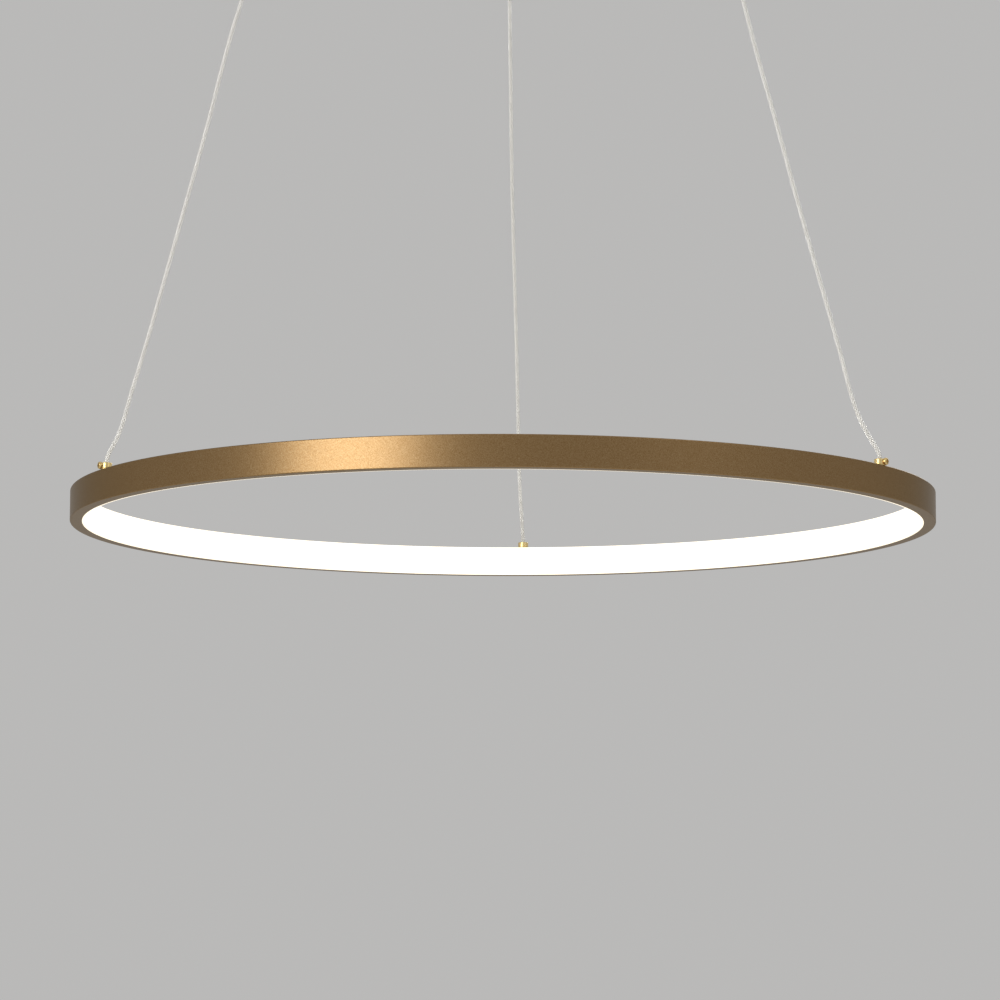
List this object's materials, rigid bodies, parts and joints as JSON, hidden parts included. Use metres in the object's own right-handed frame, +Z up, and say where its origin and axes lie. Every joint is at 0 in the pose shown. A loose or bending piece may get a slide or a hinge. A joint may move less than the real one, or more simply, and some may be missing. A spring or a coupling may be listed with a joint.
{
  "type": "led ring pendant light",
  "caption": "Slim flat LED ring with an opal inner lens and satin gold channel, hung level on three clear cords from a round ceiling canopy.",
  "frame": {"origin": "centre of the ceiling bracket's upper face, which lies on the ceiling", "axes": "+Z up, +X along the bracket's strap, +Y towards the rear cord"},
  "size_m": [0.5999, 0.6017, 0.7569],
  "materials": {
    "satin_gold": "satin gold metallic paint",
    "opal_lens": "opal, lit from inside",
    "strip_board": "white solder mask",
    "chip_phosphor": "yellow phosphor",
    "brass": "turned and lacquered",
    "zinc_steel": "zinc plated",
    "clear_cord": "clear jacket over silver strands",
    "solder": "bright solder",
    "red_lead": "red insulation",
    "black_lead": "black insulation",
    "brown_lead": "brown insulation",
    "blue_lead": "blue insulation",
    "green_yellow_lead": "green and yellow insulation",
    "driver_plastic": "moulded white plastic",
    "circuit_board": "green solder mask",
    "ferrite": "dark ferrite and tape",
    "capacitor_sleeve": "shrink sleeve",
    "foam": "closed foam",
    "block_plastic": "natural nylon"
  },
  "bodies": {
    "canopy": {"canopy_cup": "satin_gold", "cord_grip_rear": "brass", "cord_grip_left": "brass", "cord_grip_right": "brass", "grip_nuts": "brass", "terminal_clamps": "brass", "grip_screws": "zinc_steel", "canopy_screws": "zinc_steel", "ceiling_bracket": "zinc_steel", "terminal_screws": "zinc_steel", "terminal_block_screw": "zinc_steel", "earth_screw": "zinc_steel", "earth_tag": "zinc_steel", "cord_rear": "clear_cord", "cord_left": "clear_cord", "cord_right": "clear_cord", "cord_head_rear": "clear_cord", "cord_head_left": "clear_cord", "cord_head_right": "clear_cord", "output_lead_right": "red_lead", "output_lead_left": "black_lead", "mains_lead_live": "brown_lead", "mains_lead_neutral": "blue_lead", "earth_lead": "green_yellow_lead", "driver_case": "driver_plastic", "driver_lid": "driver_plastic", "driver_board": "circuit_board", "driver_transformer": "ferrite", "driver_capacitors": "capacitor_sleeve", "driver_pad": "foam", "terminal_block": "block_plastic"},
    "ring": {"ring_channel": "satin_gold", "ring_lens": "opal_lens", "led_strip": "strip_board", "led_chips": "chip_phosphor", "cord_collar_rear": "brass", "cord_collar_left": "brass", "cord_collar_right": "brass", "collar_screws": "zinc_steel", "collar_nuts": "brass", "cord_tail_rear": "clear_cord", "cord_tail_left": "clear_cord", "cord_tail_right": "clear_cord", "strip_lead_left": "black_lead", "strip_lead_right": "red_lead", "solder_joints": "solder"}
  },
  "joints": [
    {"name": "ring_height", "type": "slide", "parent": "canopy", "child": "ring", "axis": [0, 0, 1], "range_m": [0, 0.25], "deforming": ["cord_rear", "cord_left", "cord_right"]}
  ]
}
